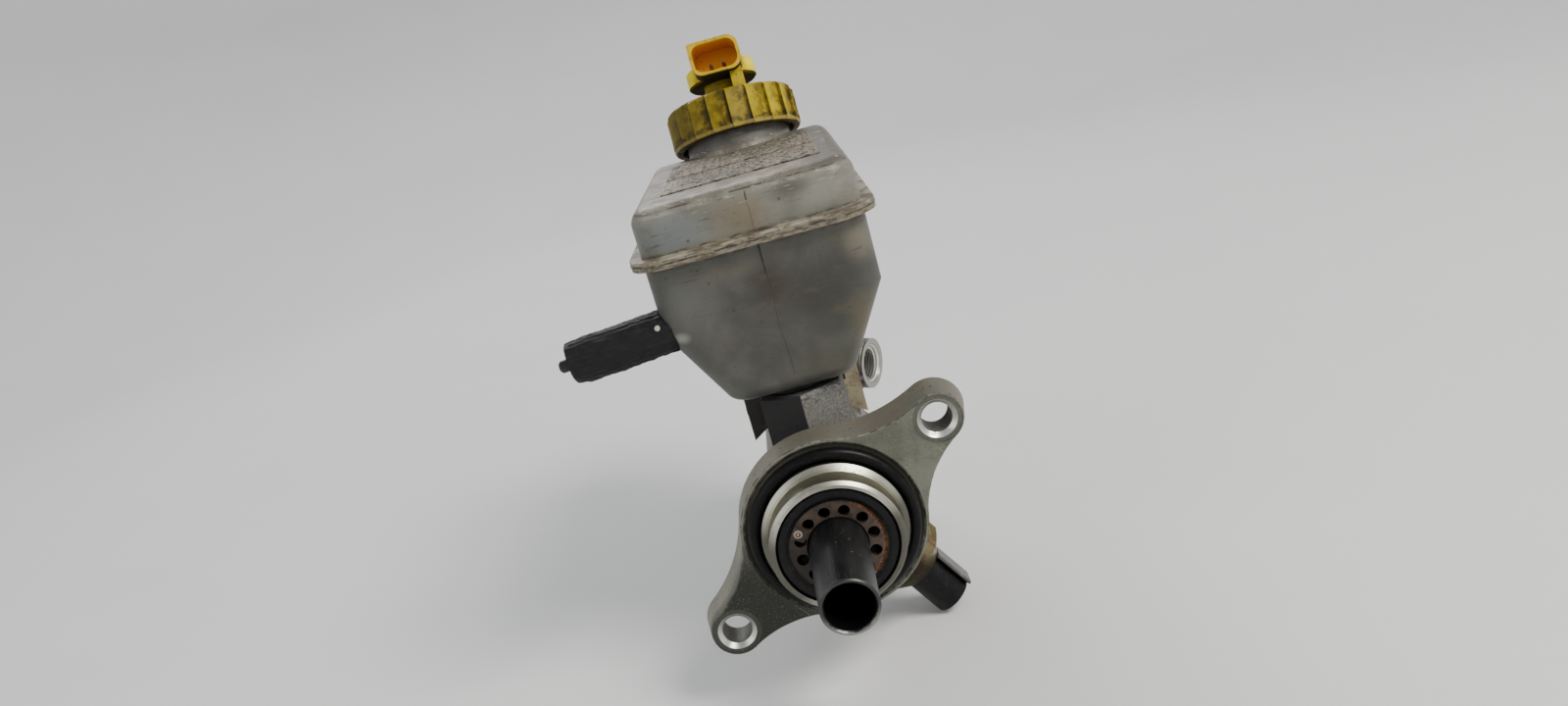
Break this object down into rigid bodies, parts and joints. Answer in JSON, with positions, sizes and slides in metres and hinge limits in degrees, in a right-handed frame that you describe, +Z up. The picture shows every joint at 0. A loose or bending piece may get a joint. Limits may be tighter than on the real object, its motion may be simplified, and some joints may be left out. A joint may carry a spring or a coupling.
{
  "type": "brake master cylinder",
  "caption": "Tandem brake master cylinder with inclined flange, push tube, pipe ports, pressure sensor and a translucent fluid reservoir with a screw cap and level switch.",
  "frame": {"origin": "where the bore's axis meets the flange's mounting face, midway between the two bolts", "axes": "+Y along the bore away from the booster, +Z up to the reservoir, +X to the right seen from the booster"},
  "size_m": [0.107, 0.1846, 0.1811],
  "materials": {
    "cast_aluminium": "as-cast, stained, machined faces bright",
    "seal_rubber": "smooth, slightly oily",
    "black_nylon": "moulded, dusty",
    "copper_disc": "tarnished copper",
    "spring_steel": "oiled",
    "dark_piston": "hard-anodised, worn bright at the rim",
    "alloy_piston": "anodised",
    "tank_plastic": "milky translucent, grimy",
    "strainer_plastic": "moulded",
    "hose_rubber": "textile-marked, dusty",
    "plug_rubber": "matt",
    "yellow_zinc": "yellow-passivated zinc",
    "copper_washer": "dull",
    "contact_metal": "tinned",
    "yellow_cap": "moulded, grimy in its grooves",
    "stem_plastic": "moulded",
    "reed_glass": "clear green",
    "float_plastic": "closed-cell",
    "magnet": "ferrite"
  },
  "bodies": {
    "cylinder": {"cylinder_body": "cast_aluminium", "flange_o_ring": "seal_rubber", "support_ring": "black_nylon", "guide_disc": "copper_disc", "circlip": "spring_steel", "vacuum_seal": "seal_rubber", "secondary_spring": "spring_steel", "secondary_spring_seat": "spring_steel", "stop_pin": "spring_steel", "reservoir_lower_shell": "tank_plastic", "reservoir_upper_shell": "tank_plastic", "reservoir_grommets": "seal_rubber", "reservoir_pin": "spring_steel", "filler_strainer": "strainer_plastic", "hose_stub": "hose_rubber", "hose_plug": "plug_rubber", "sensor_hex_base": "yellow_zinc", "sensor_washer": "copper_washer", "sensor_connector": "black_nylon", "sensor_pins": "contact_metal"},
    "primary_group": {"primary_piston": "dark_piston", "primary_rear_cup": "seal_rubber", "primary_cup_washer": "spring_steel", "primary_main_cup": "seal_rubber", "captive_screw": "spring_steel", "primary_spring": "spring_steel"},
    "floating_group": {"floating_piston": "alloy_piston", "floating_rear_cup": "seal_rubber", "floating_cup_washer": "spring_steel", "floating_main_cup": "seal_rubber", "spring_sleeve": "spring_steel"},
    "cap_centre": {"cap_insert": "yellow_cap", "cap_gasket": "seal_rubber", "contact_pins": "contact_metal", "float_stem": "stem_plastic", "reed_switch": "reed_glass"},
    "cap_screw_ring": {"cap_ring": "yellow_cap"},
    "float": {"level_float": "float_plastic", "float_magnet": "magnet"}
  },
  "joints": [
    {"name": "primary_slide", "type": "slide", "parent": "cylinder", "child": "primary_group", "axis": [0, 1, 0], "range_m": [0, 0.032], "stiffness_N_per_m": 2500, "springref_m": -0.03, "deforming": ["primary_spring", "secondary_spring"]},
    {"name": "floating_slide", "type": "slide", "parent": "cylinder", "child": "floating_group", "axis": [0, 1, 0], "range_m": [0, 0.016]},
    {"name": "cap_lift", "type": "slide", "parent": "cylinder", "child": "cap_centre", "axis": [0, 0.3007, 0.9537], "range_m": [0, 0.006]},
    {"name": "cap_turn", "type": "hinge", "parent": "cap_centre", "child": "cap_screw_ring", "pos_m": [0, 0.112, 0.0982], "axis": [0, 0.3007, 0.9537], "range_deg": [0, 540]},
    {"name": "float_slide", "type": "slide", "parent": "cap_centre", "child": "float", "axis": [0, 0.3007, 0.9537], "range_m": [0, 0.016]}
  ],
  "couplings": [
    {"joint": "floating_slide", "follows": "primary_slide", "ratio": 0.5},
    {"joint": "cap_lift", "follows": "cap_turn", "m_per_rad": 0.00063662}
  ]
}
